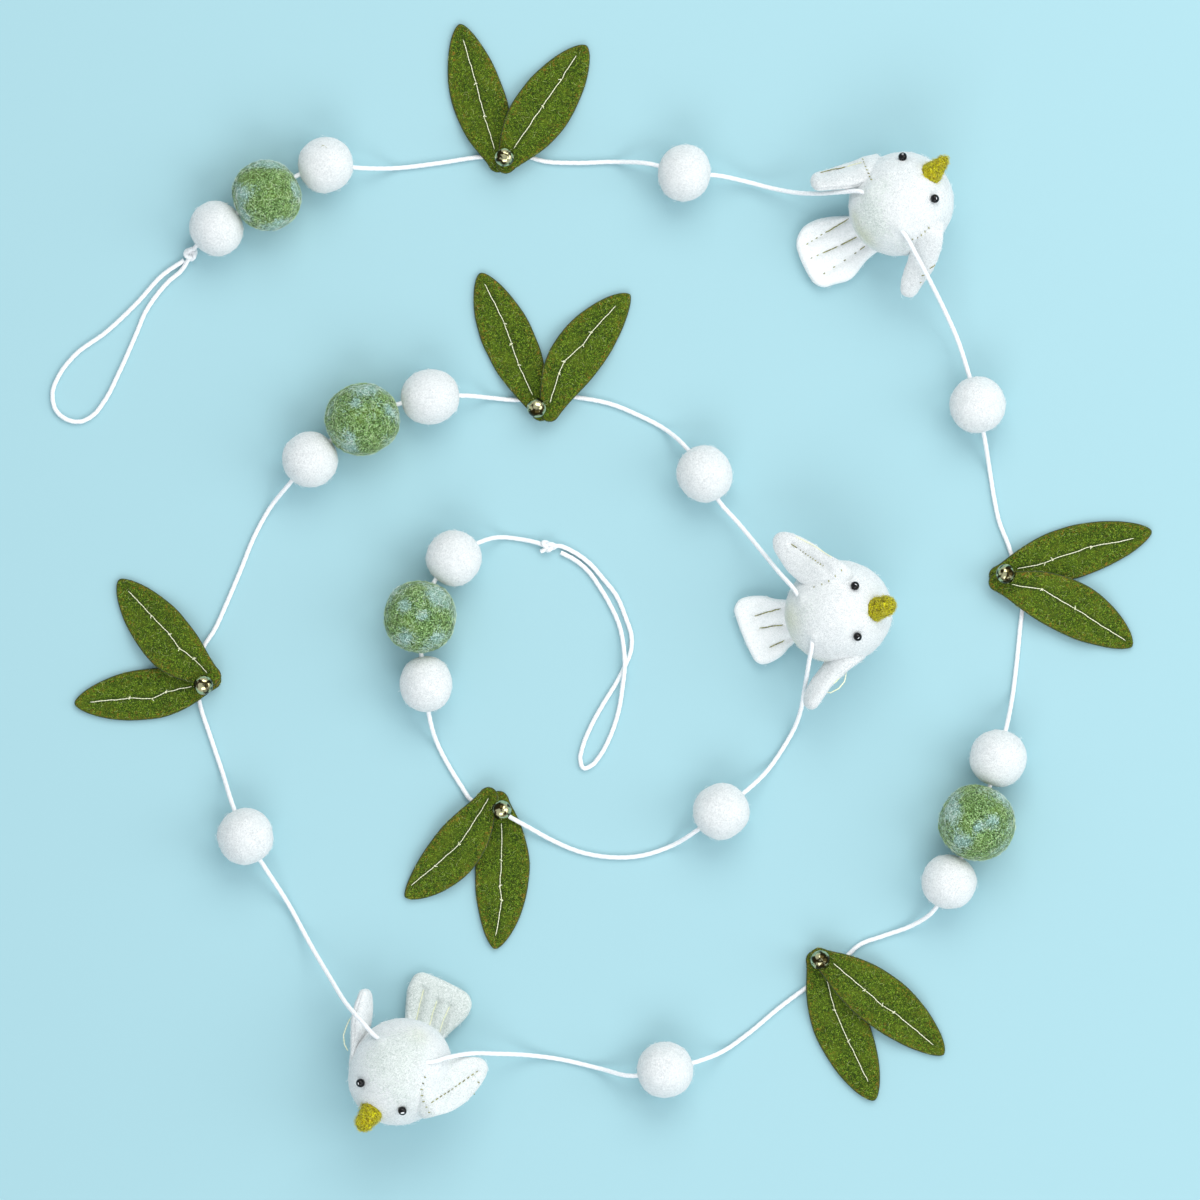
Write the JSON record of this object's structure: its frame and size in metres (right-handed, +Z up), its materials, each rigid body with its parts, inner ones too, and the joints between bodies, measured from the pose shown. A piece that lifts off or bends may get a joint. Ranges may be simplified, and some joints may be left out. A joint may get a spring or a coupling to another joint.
{
  "type": "felt dove garland",
  "caption": "Strung garland of felted wool balls, stitched felt leaf pairs with brass beads and padded felt doves on a white cord that ends in a knotted hanging loop at each end",
  "frame": {"origin": "on the surface the garland lies on, under the middle of everything strung on the cord", "axes": "+Z up from the surface, +X to the right and +Y to the top of the spiral seen from above, whose outer loop lies at the left"},
  "size_m": [0.4321, 0.4331, 0.04],
  "materials": {
    "white_felt": "dense needle felted white wool with a fine curly surface",
    "marbled_green_felt": "felted wool in wispy greens with pale blue grey patches",
    "green_felt": "flat olive green wool felt, mottled by lighter and darker fibres",
    "mustard_felt": "fuzzy mustard yellow needle felted wool",
    "white_cord": "smooth round white cotton cord",
    "gold_thread": "pale gold embroidery thread",
    "brass": "polished round brass bead",
    "black_bead": "glossy black bead"
  },
  "bodies": {
    "root": {"cord": "white_cord", "knot_outer": "white_cord", "knot_inner": "white_cord", "white_ball_01": "white_felt", "white_ball_02": "white_felt", "white_ball_03": "white_felt", "white_ball_04": "white_felt", "white_ball_05": "white_felt", "white_ball_06": "white_felt", "white_ball_07": "white_felt", "white_ball_08": "white_felt", "white_ball_09": "white_felt", "white_ball_10": "white_felt", "white_ball_11": "white_felt", "white_ball_12": "white_felt", "white_ball_13": "white_felt", "white_ball_14": "white_felt", "green_ball_1": "marbled_green_felt", "green_ball_2": "marbled_green_felt", "green_ball_3": "marbled_green_felt", "green_ball_4": "marbled_green_felt", "leaf_1_left": "green_felt", "leaf_1_right": "green_felt", "leaf_2_left": "green_felt", "leaf_2_right": "green_felt", "leaf_3_left": "green_felt", "leaf_3_right": "green_felt", "leaf_4_left": "green_felt", "leaf_4_right": "green_felt", "leaf_5_left": "green_felt", "leaf_5_right": "green_felt", "leaf_6_left": "green_felt", "leaf_6_right": "green_felt", "bead_1": "brass", "bead_2": "brass", "bead_3": "brass", "bead_4": "brass", "bead_5": "brass", "bead_6": "brass", "bird_1_body": "white_felt", "bird_1_tail": "white_felt", "bird_1_wing_left": "white_felt", "bird_1_wing_right": "white_felt", "bird_1_beak": "mustard_felt", "bird_1_eye_left": "black_bead", "bird_1_eye_right": "black_bead", "bird_2_body": "white_felt", "bird_2_tail": "white_felt", "bird_2_wing_left": "white_felt", "bird_2_wing_right": "white_felt", "bird_2_beak": "mustard_felt", "bird_2_eye_left": "black_bead", "bird_2_eye_right": "black_bead", "bird_3_body": "white_felt", "bird_3_tail": "white_felt", "bird_3_wing_left": "white_felt", "bird_3_wing_right": "white_felt", "bird_3_beak": "mustard_felt", "bird_3_eye_left": "black_bead", "bird_3_eye_right": "black_bead"}
  },
  "joints": []
}
